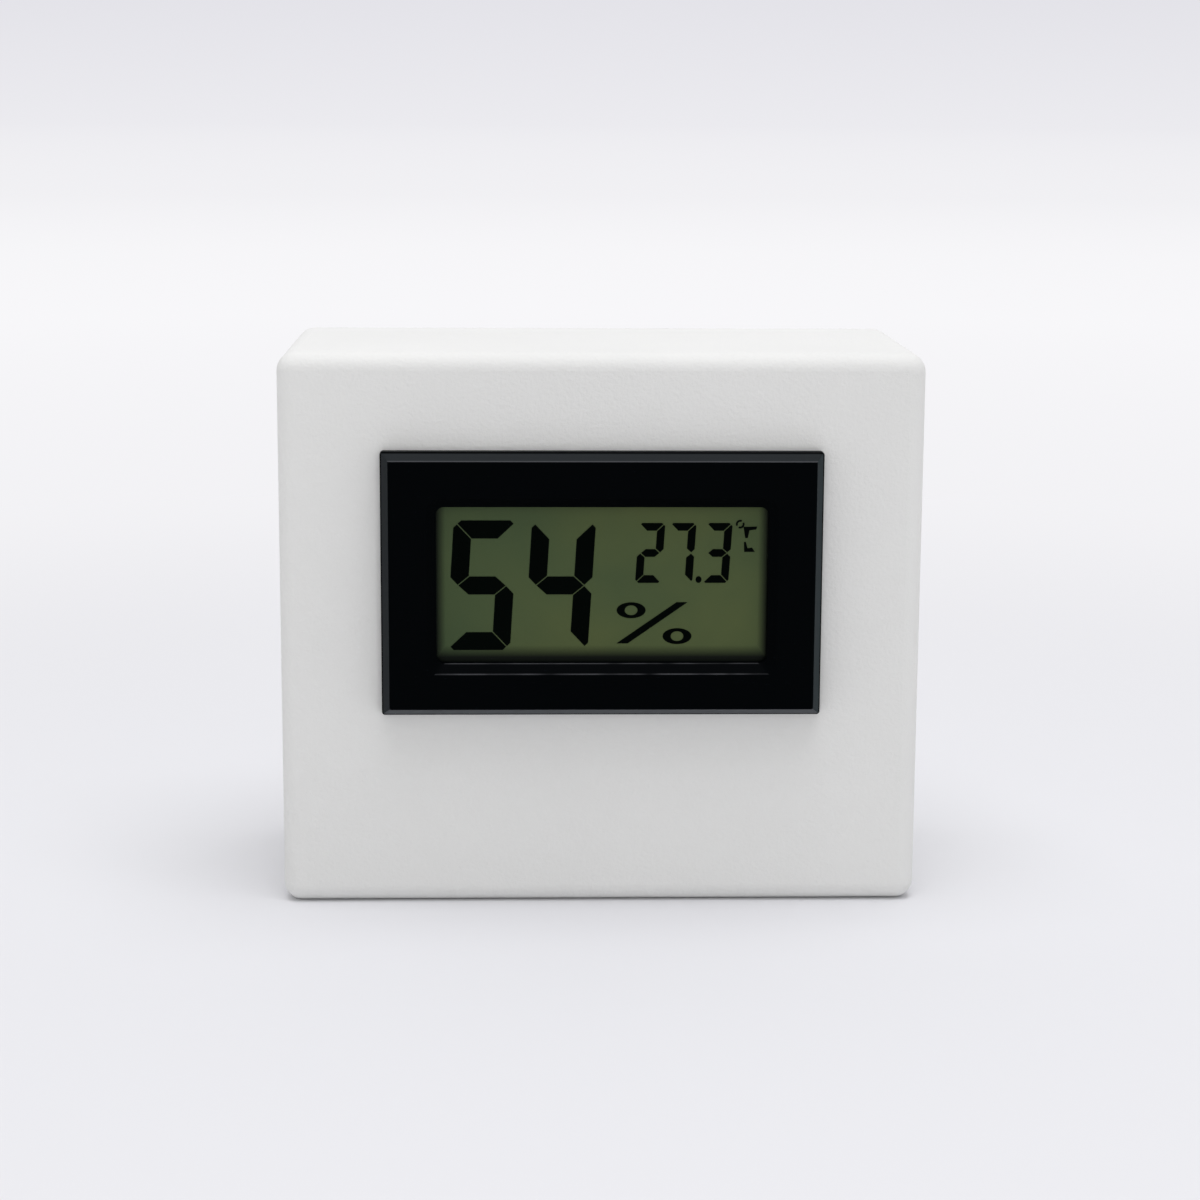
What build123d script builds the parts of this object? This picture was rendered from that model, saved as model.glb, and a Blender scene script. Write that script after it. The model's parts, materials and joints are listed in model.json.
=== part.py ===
"""A desk thermometer and hygrometer: a white box that holds a black panel meter with a liquid crystal display.

The box stands on its flat base. Its front wall has an opening, and the meter is pushed in from the front until its
bezel lies on the wall and two side ears spring out behind it. The meter holds the display, the board with its two
sensors, and two button cells in round wells that are open to the rear. The box is closed by a screwed rear cover
with air slots behind the sensors, and a small battery door behind the cells. The door hangs in the cover on two
hooks, and a spring latch holds its top edge.

Millimetres. +X is to the right seen from the front, +Y goes from the front to the rear, +Z is up. The origin is the
middle of the box's base.
"""

from build123d import *

import os

overrun = 1.0

# White box
housing_width = 70.3
housing_height = 61.2
housing_depth = 32.0
top_corner_radius = 2.1
base_corner_radius = 2.0
front_edge_radius = 1.9
rear_edge_bevel = 0.7
front_wall = 2.4
side_wall = 2.8
rim_wall = 1.8
cavity_corner_radius = 1.0
pocket_corner_radius = 1.0

housing_front = -housing_depth / 2
housing_rear = housing_depth / 2
front_wall_inner = housing_front + front_wall

# Rear cover, let into the box's rear rim
cover_thickness = 2.0
cover_recess = 0.3
cover_gap = 0.2
cover_edge_bevel = 0.35
cover_lip_thickness = 1.2
cover_lip_depth = 1.8
cover_lip_gap = 0.2
cover_side_lip_length = 34.0
cover_long_lip_length = 44.0

cover_rear = housing_rear - cover_recess
cover_seat = cover_rear - cover_thickness
cover_inset = rim_wall + cover_gap

# Screws that hold the rear cover, and their bosses in the box
cover_screw_radius = 1.05
cover_screw_head_radius = 1.9
cover_screw_head_height = 0.85
cover_screw_length = 9.0
cover_screw_sink = 0.1
screw_hole_clearance = 0.15
screw_pilot_clearance = 0.02
screw_pilot_spare = 1.5
cross_length = 2.2
cross_width = 0.5
cross_depth = 0.6
boss_radius = 2.9
boss_wall_distance = 2.4

boss_x = housing_width / 2 - side_wall - boss_wall_distance
boss_base_z = side_wall + boss_wall_distance
boss_top_z = housing_height - side_wall - boss_wall_distance

# Panel meter: its bezel, its body behind the panel and its place in the box
bezel_width = 48.0
bezel_height = 29.0
bezel_side_thickness = 1.2
bezel_bevel_depth = 1.6
bezel_bevel_width = 0.9
bezel_corner_radius = 0.35
bezel_face_wall = 1.8
meter_width = 46.0
meter_height = 27.0
meter_depth = 15.2
meter_wall = 1.2
meter_corner_radius = 0.5
meter_rise = 5.6
panel_clearance = 0.1
panel_rib_thickness = 1.2
panel_rib_depth = 3.0
panel_rib_gap = 0.3

meter_z = housing_height / 2 + meter_rise
bezel_front = housing_front - bezel_side_thickness - bezel_bevel_depth
bezel_bevel_rear = housing_front - bezel_side_thickness
bezel_face_inner = bezel_front + bezel_face_wall
meter_rear = bezel_front + meter_depth
meter_inner_width = meter_width - 2 * meter_wall
meter_inner_height = meter_height - 2 * meter_wall

# Window in the bezel, with a sloped rim
window_width = 36.0
window_height = 17.2
window_corner_radius = 0.9
window_bevel_width = 1.05
window_bevel_depth = 0.8
window_rim_radius = 1.6

# Posts and screws that hold the board in the bezel
post_wall_distance = 1.4
post_top_distance = 2.7
post_radius = 1.25
post_web = 0.8
rest_width = 1.8
board_screw_radius = 0.55
board_screw_head_radius = 1.15
board_screw_head_height = 0.6
board_screw_length = 3.2
board_screw_slot_width = 0.3
board_screw_slot_depth = 0.25
board_hole_clearance = 0.15

post_x = meter_inner_width / 2 - post_wall_distance
post_z = meter_inner_height / 2 - post_top_distance

# Liquid crystal display, from front to rear, held between the posts
glass_thickness = 0.7
glass_post_gap = 0.35
glass_top_gap = 2.1
front_glass_base_gap = 1.1
rear_glass_base_gap = 3.4
polariser_thickness = 0.2
polariser_side_rim = 0.4
polariser_top_rim = 0.3
front_polariser_base_rim = 1.8
rear_polariser_base_rim = 0.2

glass_width = 2 * (post_x - post_radius - glass_post_gap)
glass_top = meter_inner_height / 2 - glass_top_gap
front_glass_base = front_glass_base_gap - meter_inner_height / 2
rear_glass_base = rear_glass_base_gap - meter_inner_height / 2
polariser_width = glass_width - 2 * polariser_side_rim
polariser_top = glass_top - polariser_top_rim
front_glass_face = bezel_face_inner + polariser_thickness
rear_glass_face = front_glass_face + glass_thickness
rear_polariser_face = rear_glass_face + glass_thickness
display_rear = rear_polariser_face + polariser_thickness

# Board, and the rubber strips between it and the display
strip_end_gap = 1.8
zebra_thickness = 1.6
zebra_height = 2.5
zebra_rim = 0.3
foam_thickness = 1.4
foam_rim = 0.2
board_edge_gap = 0.5
board_thickness = 1.0

strip_length = glass_width - 2 * strip_end_gap
board_width = meter_inner_width - 2 * board_edge_gap
board_height = meter_inner_height - 2 * board_edge_gap
board_front = rear_glass_face + zebra_height
board_rear = board_front + board_thickness

# Rear case of the meter, which laps into the bezel case
lap_depth = 2.2
lap_thickness = 0.7
lap_clearance = 0.1
parting_behind_panel = 6.4
rear_wall = 1.4
catch_length = 3.6
catch_depth = 0.6
catch_height = 0.45
catch_window_gap = 0.15
catch_spacing = 26.0
catch_front_gap = 0.4

parting = housing_front + parting_behind_panel
rear_wall_inner = meter_rear - rear_wall

# Side ears that hold the meter behind the panel
ear_height = 8.0
ear_slot = 0.5
ear_root = 1.8
ear_root_thickness = 1.0
ear_tip_gap = 0.1
ear_tip_length = 1.0
ear_tip_inner = 0.6
ear_tip_outer = 1.9

# Button cells and their wells
cell_radius = 5.8
cell_height = 5.4
cell_edge_bevel = 0.4
cell_cap_radius = 4.4
cell_cap_height = 0.45
cell_groove_width = 0.35
cell_groove_depth = 0.3
cell_sink = 0.2
cell_clearance = 0.2
cell_gap = 2.6
well_wall = 1.3
well_side_gap = 0.4
well_floor = 0.9
cell_rise = 0.5

cell_rear = meter_rear - cell_sink
cell_front = cell_rear - cell_height
well_floor_rear = cell_front - cell_rise
well_floor_front = well_floor_rear - well_floor
well_radius = cell_radius + cell_clearance
cell_spacing = 2 * cell_radius + cell_gap
left_cell_x = well_side_gap + well_wall + well_radius - meter_inner_width / 2
wells_x = left_cell_x + cell_spacing / 2
cell_places = {"left": left_cell_x, "right": left_cell_x + cell_spacing}

# Tongue and nub at each well's rim, which keep the cell in
tongue_width = 3.2
tongue_length = 4.2
tongue_slot = 0.5
tongue_relief_depth = 2.6
tongue_relief_height = 3.2
nub_width = 2.4
nub_overhang = 0.45
nub_thickness = 0.6
nub_root = 0.8
nub_gap = 0.05

# Battery contacts
contact_thickness = 0.2
contact_gap = 0.02
leaf_width = 3.0
leaf_foot_length = 1.6
leaf_riser_z = -3.4
leaf_tip_z = 2.4
leaf_root_rise = 0.15
leaf_slot_gap = 0.4
side_contact_width = 2.6
side_contact_foot = 0.5
side_contact_knee = 1.6
side_contact_touch = 4.4
side_contact_lead_in = 0.9
side_channel_width = 3.2
side_channel_height = 3.4

# Sensors and parts on the board
humidity_width = 6.0
humidity_height = 10.0
humidity_thickness = 0.6
humidity_stand_off = 3.2
lead_width = 0.4
lead_spacing = 2.54
lead_inset = 0.8
sensor_wall_distance = 6.6
sensor_z = 0.6
bead_radius = 1.1
bead_length = 2.6
bead_end_bevel = 0.6
bead_wall_distance = 2.1
bead_z = -3.4
bead_lead_spacing = 1.3
bead_stand_off = 2.6
chip_coating_radius = 3.7
chip_coating_height = 1.3
chip_coating_shares = ((1, 0), (0.82, 0.55), (0.5, 0.9), (0.25, 1), (0, 1))
chip_coating_x = 5.6
chip_coating_top_distance = 4.8
small_part_length = 1.6
small_part_width = 0.8
small_part_height = 0.5
small_part_pitch = 3.0
small_part_count = 5
small_part_side_distance = 4.9
small_part_top_distance = 1.9

sensor_x = meter_inner_width / 2 - sensor_wall_distance
bead_x = meter_inner_width / 2 - bead_wall_distance
chip_coating_z = board_height / 2 - chip_coating_top_distance
small_part_x = small_part_side_distance - board_width / 2
small_part_z = board_height / 2 - small_part_top_distance

# Air slots in the meter's rear wall, and in the rear cover behind them
meter_slot_width = 1.2
meter_slot_height = 12.0
meter_slot_pitch = 2.4
meter_slot_count = 5
cover_slot_width = 1.6
cover_slot_height = 18.0
cover_slot_pitch = 3.1
cover_slot_count = 5
cover_slots_x = 19.0

# Battery door in the rear cover, its ledges and its hooks
door_width = 30.0
door_height = 22.0
door_thickness = 1.2
door_gap = 0.2
door_corner_radius = 1.0
door_edge_bevel = 0.3
door_ledge = 1.2
door_ledge_gap = 0.05
grip_count = 5
grip_pitch = 1.5
grip_length = 10.0
grip_width = 0.6
grip_height = 0.3
grip_top_distance = 6.2
hook_width = 5.0
hook_spacing = 17.0
hook_root_height = 2.2
hook_drop = 1.6
hook_thickness = 1.1
hook_gap = 0.2
scoop_radius = 5.4
scoop_depth = 0.8

door_x = wells_x
door_front = cover_rear - door_thickness
door_base_z = meter_z - door_height / 2
door_top_z = meter_z + door_height / 2

# Spring latch of the battery door
latch_width = 8.4
latch_side_gap = 0.3
latch_thickness = 0.8
latch_leg_gap = 2.2
latch_leg_length = 3.0
latch_top_gap = 0.4
latch_nub_land = 0.4
latch_nub_ramp = 1.6
latch_nub_rise = 1.1
latch_nub_gap = 0.1


def facing(y):
    """The plane at y that is seen from the front: its own x and y are X and Z."""
    return Plane(origin=(0, y, 0), x_dir=(1, 0, 0), z_dir=(0, -1, 0))


def slab(sketch, y_front, y_rear):
    """A sketch drawn as seen from the front, made solid between two depths."""
    return extrude(facing(y_rear) * sketch, amount=y_rear - y_front)


def rod(x, z, radius, y_front, y_rear):
    """A round bar along Y."""
    return slab(Pos(x, z) * Circle(radius), y_front, y_rear)


def block(x_range, y_range, z_range):
    """A box between three pairs of limits."""
    sizes = [high - low for low, high in (x_range, y_range, z_range)]
    middles = [(high + low) / 2 for low, high in (x_range, y_range, z_range)]
    return Pos(*middles) * Box(*sizes)


def middle_out(middle, size):
    """The two limits of a size laid evenly about its middle."""
    return (middle - size / 2, middle + size / 2)


def turned(points):
    """A body turned about Y from an outline of (radius, y) points."""
    return revolve(make_face(Polyline(*points, close=True)), axis=Axis.Y)


def box_outline(inset, top_radius, base_radius):
    """The white box's outline seen from the front, drawn in by inset."""
    outline = Pos(0, housing_height / 2) * Rectangle(housing_width - 2 * inset, housing_height - 2 * inset)
    outline = fillet(outline.vertices().group_by(Axis.Y)[-1], top_radius)
    return fillet(outline.vertices().group_by(Axis.Y)[0], base_radius)


def meter_rectangle(width, height, radius):
    """A rounded rectangle on the meter's middle."""
    return Pos(0, meter_z) * RectangleRounded(width, height, radius)


def screw_places():
    """The (x, z) of the four rear cover screws."""
    return [(side * boss_x, z) for side in (-1, 1) for z in (boss_base_z, boss_top_z)]


def front_housing():
    """The white box: front, sides, top and base in one moulding, open at the rear."""
    body = slab(box_outline(0, top_corner_radius, base_corner_radius), housing_front, housing_rear)
    body = fillet(body.edges().group_by(Axis.Y)[0], front_edge_radius)
    body = chamfer(body.edges().group_by(Axis.Y)[-1], rear_edge_bevel)
    body -= slab(box_outline(side_wall, cavity_corner_radius, cavity_corner_radius), front_wall_inner, cover_seat)
    body -= slab(box_outline(rim_wall, pocket_corner_radius, pocket_corner_radius), cover_seat, housing_rear + overrun)
    for x, z in screw_places():
        side = 1 if x > 0 else -1
        end = 1 if z > housing_height / 2 else -1
        boss = Pos(x, z) * Circle(boss_radius)
        boss += Pos(x + side * boss_radius / 2, z + end * boss_radius / 2) * Rectangle(boss_radius, boss_radius)
        body += slab(boss, front_wall_inner, cover_seat)
        pilot_depth = cover_screw_length - cover_thickness + screw_pilot_spare
        body -= rod(x, z, cover_screw_radius + screw_pilot_clearance, cover_seat - pilot_depth, cover_seat)
    for side in (-1, 1):
        rib_z = meter_z + side * (meter_height / 2 + panel_clearance + panel_rib_gap + panel_rib_thickness / 2)
        body += block(
            middle_out(0, meter_width),
            (front_wall_inner, front_wall_inner + panel_rib_depth),
            middle_out(rib_z, panel_rib_thickness),
        )
    opening = meter_rectangle(
        meter_width + 2 * panel_clearance, meter_height + 2 * panel_clearance, meter_corner_radius
    )
    body -= slab(opening, housing_front - overrun, front_wall_inner)
    return body


def cover_lips():
    """Four bars inside the rear cover, which centre it in the box between the bosses."""
    depth = (cover_seat - cover_lip_depth, cover_seat)
    side_x = housing_width / 2 - side_wall - cover_lip_gap - cover_lip_thickness / 2
    top_z = housing_height - side_wall - cover_lip_gap - cover_lip_thickness / 2
    base_z = side_wall + cover_lip_gap + cover_lip_thickness / 2
    middle_z = housing_height / 2
    upright = middle_out(middle_z, cover_side_lip_length)
    level = middle_out(0, cover_long_lip_length)
    bars = [block(middle_out(side * side_x, cover_lip_thickness), depth, upright) for side in (-1, 1)]
    bars += [block(level, depth, middle_out(z, cover_lip_thickness)) for z in (base_z, top_z)]
    return bars


def rear_cover():
    """The white rear cover, with the battery door's opening and the air slots."""
    cover = slab(
        box_outline(cover_inset, pocket_corner_radius - cover_gap, pocket_corner_radius - cover_gap),
        cover_seat,
        cover_rear,
    )
    cover = chamfer(cover.edges().group_by(Axis.Y)[-1], cover_edge_bevel)
    for bar in cover_lips():
        cover += bar
    opening = RectangleRounded(door_width + 2 * door_gap, door_height + 2 * door_gap, door_corner_radius)
    cover -= slab(Pos(door_x, meter_z) * opening, cover_seat - overrun, cover_rear + overrun)
    ledge_rear = door_front - door_ledge_gap
    for side in (-1, 1):
        edge = door_x + side * (door_width / 2 + door_gap)
        ledge_x = sorted((edge + side * door_corner_radius, edge - side * door_ledge))
        cover += block(ledge_x, (cover_seat, ledge_rear), middle_out(meter_z, door_height + 2 * door_gap))
    scoop = Pos(door_x, door_top_z) * Circle(scoop_radius)
    scoop -= Pos(door_x, door_top_z - scoop_radius) * Rectangle(2 * scoop_radius, 2 * scoop_radius)
    cover -= slab(scoop, cover_rear - scoop_depth, cover_rear + overrun)
    for step in range(cover_slot_count):
        slot_x = cover_slots_x + (step - (cover_slot_count - 1) / 2) * cover_slot_pitch
        slot = Pos(slot_x, meter_z) * Rectangle(cover_slot_width, cover_slot_height)
        cover -= slab(slot, cover_seat - overrun, cover_rear + overrun)
    for x, z in screw_places():
        cover -= Pos(x, 0, z) * screw_recess()
    return cover


def screw_recess():
    """The space that a cover screw and its head take in the cover, with their clearance, on the Y axis."""
    hole = cover_screw_radius + screw_hole_clearance
    head = cover_screw_head_radius + screw_hole_clearance
    head_seat = cover_rear - cover_screw_sink - cover_screw_head_height
    return turned(
        [
            (0, cover_seat - overrun),
            (hole, cover_seat - overrun),
            (hole, head_seat),
            (head, head_seat),
            (head, cover_rear + overrun),
            (0, cover_rear + overrun),
        ]
    )


def cover_screws():
    """The four pan-head screws of the rear cover, each with a cross in its head."""
    head_rear = cover_rear - cover_screw_sink
    head_front = head_rear - cover_screw_head_height
    tip = head_rear - cover_screw_length
    screw = turned(
        [
            (0, tip),
            (cover_screw_radius, tip),
            (cover_screw_radius, head_front),
            (cover_screw_head_radius, head_front),
            (cover_screw_head_radius, head_rear),
            (0, head_rear),
        ]
    )
    cross = (head_rear - cross_depth, head_rear + overrun)
    screw -= block(middle_out(0, cross_length), cross, middle_out(0, cross_width))
    screw -= block(middle_out(0, cross_width), cross, middle_out(0, cross_length))
    return Compound([Pos(x, 0, z) * screw.solid() for x, z in screw_places()])


def battery_door():
    """The battery door: a plate with two hooks at its base and a notch for its latch at the top."""
    outline = Pos(door_x, meter_z) * RectangleRounded(door_width, door_height, door_corner_radius)
    door = slab(outline, door_front, cover_rear)
    door = chamfer(door.edges().group_by(Axis.Y)[-1], door_edge_bevel)
    notch_depth = latch_top_gap + 2 * latch_thickness + latch_leg_gap
    door -= block(
        middle_out(door_x, latch_width + 2 * latch_side_gap),
        (door_front - overrun, cover_rear + overrun),
        (door_top_z - notch_depth, door_top_z + overrun),
    )
    for step in range(grip_count):
        bar_z = door_top_z - grip_top_distance - step * grip_pitch
        door += block(
            middle_out(door_x, grip_length), (cover_rear - grip_height, cover_rear + grip_height),
            middle_out(bar_z, grip_width),
        )
    hook_rear = cover_seat - hook_gap
    hook_front = hook_rear - hook_thickness
    for side in (-1, 1):
        across = middle_out(door_x + side * hook_spacing / 2, hook_width)
        root_z = (door_base_z + hook_gap, door_base_z + hook_root_height)
        door += block(across, (hook_front, door_front), root_z)
        door += block(across, (hook_front, hook_rear), (door_base_z - hook_drop, door_base_z + hook_root_height))
    return door


def door_latch():
    """The battery door's spring latch: a U on its side, with the nub that catches behind the cover."""
    upper_top = door_top_z - latch_top_gap
    upper_base = upper_top - latch_thickness
    lower_top = upper_base - latch_leg_gap
    lower_base = lower_top - latch_thickness
    bend_y = door_front - latch_leg_length
    bend_z = (upper_base + lower_top) / 2
    across = middle_out(door_x, latch_width)
    upper = block(across, (bend_y, cover_rear), (upper_base, upper_top))
    lower = block(across, (bend_y, door_front), (lower_base, lower_top))
    bend = Circle(latch_leg_gap / 2 + latch_thickness) - Circle(latch_leg_gap / 2)
    bend -= Pos(latch_leg_gap + latch_thickness, 0) * Rectangle(
        2 * (latch_leg_gap + latch_thickness), 2 * (latch_leg_gap + latch_thickness)
    )
    side = Plane(origin=(door_x, bend_y, bend_z), x_dir=(0, 1, 0), z_dir=(1, 0, 0))
    turn = extrude(side * bend, amount=latch_width / 2, both=True)
    nub_rear = cover_seat - latch_nub_gap
    nub_outline = Polyline(
        (nub_rear, upper_top), (nub_rear, upper_top + latch_nub_rise),
        (nub_rear - latch_nub_land, upper_top + latch_nub_rise),
        (nub_rear - latch_nub_ramp, upper_top), close=True,
    )
    nub_plane = Plane(origin=(door_x, 0, 0), x_dir=(0, 1, 0), z_dir=(1, 0, 0))
    nub = extrude(nub_plane * make_face(nub_outline), amount=latch_width / 2, both=True)
    return upper + lower + turn + nub


def post_places():
    """The (x, z) of the two posts, on a diagonal, that the board is screwed to."""
    return [(-post_x, meter_z + post_z), (post_x, meter_z - post_z)]


def bezel_case():
    """The meter's front: the bezel with its bevels and window, and the skirt that goes through the panel."""
    face = facing(bezel_front) * meter_rectangle(
        bezel_width - 2 * bezel_bevel_width, bezel_height - 2 * bezel_bevel_width, bezel_corner_radius
    )
    edge = facing(bezel_bevel_rear) * meter_rectangle(bezel_width, bezel_height, bezel_corner_radius)
    case = loft([face, edge], ruled=True)
    case += slab(meter_rectangle(bezel_width, bezel_height, bezel_corner_radius), bezel_bevel_rear, housing_front)
    case += slab(meter_rectangle(meter_width, meter_height, meter_corner_radius), housing_front, parting)
    inside = Pos(0, meter_z) * Rectangle(meter_inner_width, meter_inner_height)
    case -= slab(inside, bezel_face_inner, parting + overrun)
    window = meter_rectangle(window_width, window_height, window_corner_radius)
    case -= slab(window, bezel_front - overrun, bezel_face_inner)
    rim = meter_rectangle(
        window_width + 2 * window_bevel_width, window_height + 2 * window_bevel_width, window_rim_radius
    )
    slope = loft([facing(bezel_front) * rim, facing(bezel_front + window_bevel_depth) * window], ruled=True)
    case -= slope
    pilot = board_screw_radius + screw_pilot_clearance
    inside_y = (bezel_face_inner, board_front)
    for x, z in post_places():
        case += rod(x, z, post_radius, bezel_face_inner, board_front)
        web_end = (1 if x > 0 else -1) * (meter_width - meter_wall) / 2
        case += block(sorted((x, web_end)), inside_y, middle_out(z, post_web))
        case -= rod(x, z, pilot, board_front - board_screw_length, board_front)
        rest_x = -(1 if x > 0 else -1) * (meter_inner_width - rest_width + overrun) / 2
        case += block(middle_out(rest_x, rest_width + overrun), inside_y, middle_out(z, rest_width))
    for gap in ear_windows(front_wall_inner - ear_slot, parting + overrun) + catches(catch_window_gap):
        case -= gap
    return case


def ear_windows(y_front, y_rear):
    """The gaps in both side walls that the ears bend into."""
    gaps = []
    for side in (-1, 1):
        wall_x = sorted((side * (meter_inner_width - overrun) / 2, side * (meter_width + overrun) / 2))
        gaps.append(block(wall_x, (y_front, y_rear), middle_out(meter_z, ear_height + 2 * ear_slot)))
    return gaps


def catches(gap):
    """The four catches between the meter's two cases, or their windows where gap is given."""
    lap_z = meter_inner_height / 2 - lap_clearance
    y_range = (parting - lap_depth + catch_front_gap - gap, parting - lap_depth + catch_front_gap + catch_depth + gap)
    boxes = []
    for side in (-1, 1):
        for place in (-catch_spacing / 2, catch_spacing / 2):
            reach = lap_z + catch_height + (overrun if gap else 0)
            root = lap_z - lap_thickness / 2
            z_range = sorted((meter_z + side * root, meter_z + side * reach))
            boxes.append(block(middle_out(place, catch_length + 2 * gap), y_range, z_range))
    return boxes


def ear():
    """The right-hand ear: a tongue that leans out of the case's side towards the panel's rear."""
    wall_outer = meter_width / 2
    tip = front_wall_inner + ear_tip_gap
    root_rear = meter_rear - ear_root
    outline = Polyline(
        (wall_outer - meter_wall, root_rear),
        (wall_outer, root_rear),
        (wall_outer + ear_tip_outer, tip + ear_tip_length),
        (wall_outer + ear_tip_outer, tip),
        (wall_outer + ear_tip_inner, tip),
        (wall_outer - meter_wall, root_rear - ear_root_thickness),
        close=True,
    )
    return Pos(0, 0, meter_z) * extrude(make_face(outline), amount=ear_height / 2, both=True)


def module_rear_case():
    """The meter's rear case: wells for the cells, air slots, side ears and the lap that fits the bezel case."""
    outer = meter_rectangle(meter_width, meter_height, meter_corner_radius)
    inner = Pos(0, meter_z) * Rectangle(meter_inner_width, meter_inner_height)
    case = slab(outer, parting, meter_rear) - slab(inner, parting, rear_wall_inner)
    lap_width = meter_inner_width - 2 * lap_clearance
    lap_height = meter_inner_height - 2 * lap_clearance
    lap = Pos(0, meter_z) * Rectangle(lap_width, lap_height)
    lap -= Pos(0, meter_z) * Rectangle(lap_width - 2 * lap_thickness, lap_height - 2 * lap_thickness)
    case += slab(lap, parting - lap_depth, parting + lap_thickness)
    root = Pos(0, meter_z) * Rectangle(meter_inner_width, meter_inner_height)
    root -= Pos(0, meter_z) * Rectangle(lap_width - 2 * lap_thickness, lap_height - 2 * lap_thickness)
    case += slab(root, parting, parting + lap_thickness)
    for box in catches(0):
        case += box
    for x in cell_places.values():
        case += rod(x, meter_z, well_radius + well_wall, well_floor_front, rear_wall_inner + rear_wall / 2)
    for x in cell_places.values():
        case -= rod(x, meter_z, well_radius, well_floor_rear, meter_rear + overrun)
        case -= leaf_slot(x)
        case = with_keepers(case, x)
    case -= block(
        middle_out(wells_x, side_channel_width),
        (well_floor_front - overrun, rear_wall_inner),
        middle_out(meter_z, side_channel_height),
    )
    for step in range(meter_slot_count):
        slot_x = sensor_x + (step - (meter_slot_count - 1) / 2) * meter_slot_pitch
        case -= block(
            middle_out(slot_x, meter_slot_width),
            (rear_wall_inner - overrun, meter_rear + overrun),
            middle_out(meter_z + sensor_z, meter_slot_height),
        )
    ear_front = parting - lap_depth - overrun
    for gap in ear_windows(ear_front, meter_rear - ear_root - ear_root_thickness):
        case -= gap
    case += ear()
    case += mirror(ear(), about=Plane.YZ)
    return case


def leaf_slot(x):
    """The hole in a well's floor that lets its contact leaf through."""
    riser = meter_z + leaf_riser_z
    return block(
        middle_out(x, leaf_width + 2 * leaf_slot_gap),
        (well_floor_front - overrun, well_floor_rear + overrun),
        middle_out(riser, 2 * leaf_slot_gap + contact_thickness),
    )


def with_keepers(case, x):
    """The case with the springy tongue above a well and the two nubs that reach over the cell's edge."""
    tongue_base = meter_z + well_radius - well_wall
    tongue_top = meter_z + well_radius + tongue_length
    through = (rear_wall_inner - overrun, meter_rear + overrun)
    for side in (-1, 1):
        slot_x = x + side * (tongue_width + tongue_slot) / 2
        case -= block(middle_out(slot_x, tongue_slot), through, (tongue_base, tongue_top))
    relief_base = meter_z + well_radius - well_wall / 2
    relief_z = (relief_base, relief_base + tongue_relief_height)
    relief_y = (rear_wall_inner - tongue_relief_depth, rear_wall_inner)
    case -= block(middle_out(x, tongue_width + 2 * tongue_slot), relief_y, relief_z)
    nub_y = (cell_rear + nub_gap, cell_rear + nub_gap + nub_thickness)
    for side in (-1, 1):
        reach = meter_z + side * (cell_radius - nub_overhang)
        root = meter_z + side * (well_radius + nub_root)
        case += block(middle_out(x, nub_width), nub_y, sorted((reach, root)))
    return case


def display_layer(width, z_bottom, z_top, y_front, thickness):
    """One flat layer of the display, with its place given from the meter's middle."""
    return block(middle_out(0, width), (y_front, y_front + thickness), (meter_z + z_bottom, meter_z + z_top))


def zebra_strip():
    """The conductive rubber strip from the display's contact ledge to the board."""
    base = meter_z + front_glass_base + zebra_rim
    return block(middle_out(0, strip_length), (rear_glass_face, board_front), (base, base + zebra_thickness))


def foam_strip():
    """The foam strip that presses the display's top edge forward."""
    top = meter_z + glass_top - foam_rim
    return block(middle_out(0, strip_length), (display_rear, board_front), (top - foam_thickness, top))


def circuit_board():
    """The board, with holes for its two screws."""
    board = slab(Pos(0, meter_z) * Rectangle(board_width, board_height), board_front, board_rear)
    hole = board_screw_radius + board_hole_clearance
    for x, z in post_places():
        board -= rod(x, z, hole, board_front - overrun, board_rear + overrun)
    return board


def board_screws():
    """The two slotted screws that hold the board on the bezel's posts."""
    head_rear = board_rear + board_screw_head_height
    tip = board_rear - board_screw_length
    screw = turned(
        [
            (0, tip),
            (board_screw_radius, tip),
            (board_screw_radius, board_rear),
            (board_screw_head_radius, board_rear),
            (board_screw_head_radius, head_rear),
            (0, head_rear),
        ]
    )
    slot_y = (head_rear - board_screw_slot_depth, head_rear + overrun)
    screw -= block(middle_out(0, 2 * board_screw_head_radius + overrun), slot_y, middle_out(0, board_screw_slot_width))
    return Compound([Pos(x, 0, z) * screw.solid() for x, z in post_places()])


def chip_coating():
    """The round drop of black resin over the chip."""
    outline = [
        (chip_coating_radius * across, board_rear + chip_coating_height * up) for across, up in chip_coating_shares
    ]
    return Pos(chip_coating_x, 0, meter_z + chip_coating_z) * turned([(0, board_rear), *outline])


def board_components():
    """The row of small resistors and capacitors on the board."""
    parts = []
    for step in range(small_part_count):
        x = small_part_x + step * small_part_pitch
        parts.append(
            block(
                middle_out(x, small_part_length),
                (board_rear, board_rear + small_part_height),
                middle_out(meter_z + small_part_z, small_part_width),
            )
        )
    return Compound([part.solid() for part in parts])


def humidity_sensor():
    """The ceramic plate of the humidity sensor, which stands off the board behind the air slots."""
    front = board_rear + humidity_stand_off
    return block(
        middle_out(sensor_x, humidity_width),
        (front, front + humidity_thickness),
        middle_out(meter_z + sensor_z, humidity_height),
    )


def thermistor():
    """The resin bead of the temperature sensor, lying along Z."""
    bead = Cylinder(bead_radius, bead_length)
    bead = chamfer(bead.edges().filter_by(GeomType.CIRCLE), bead_end_bevel)
    return Pos(bead_x, board_rear + bead_stand_off, meter_z + bead_z) * bead


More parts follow.
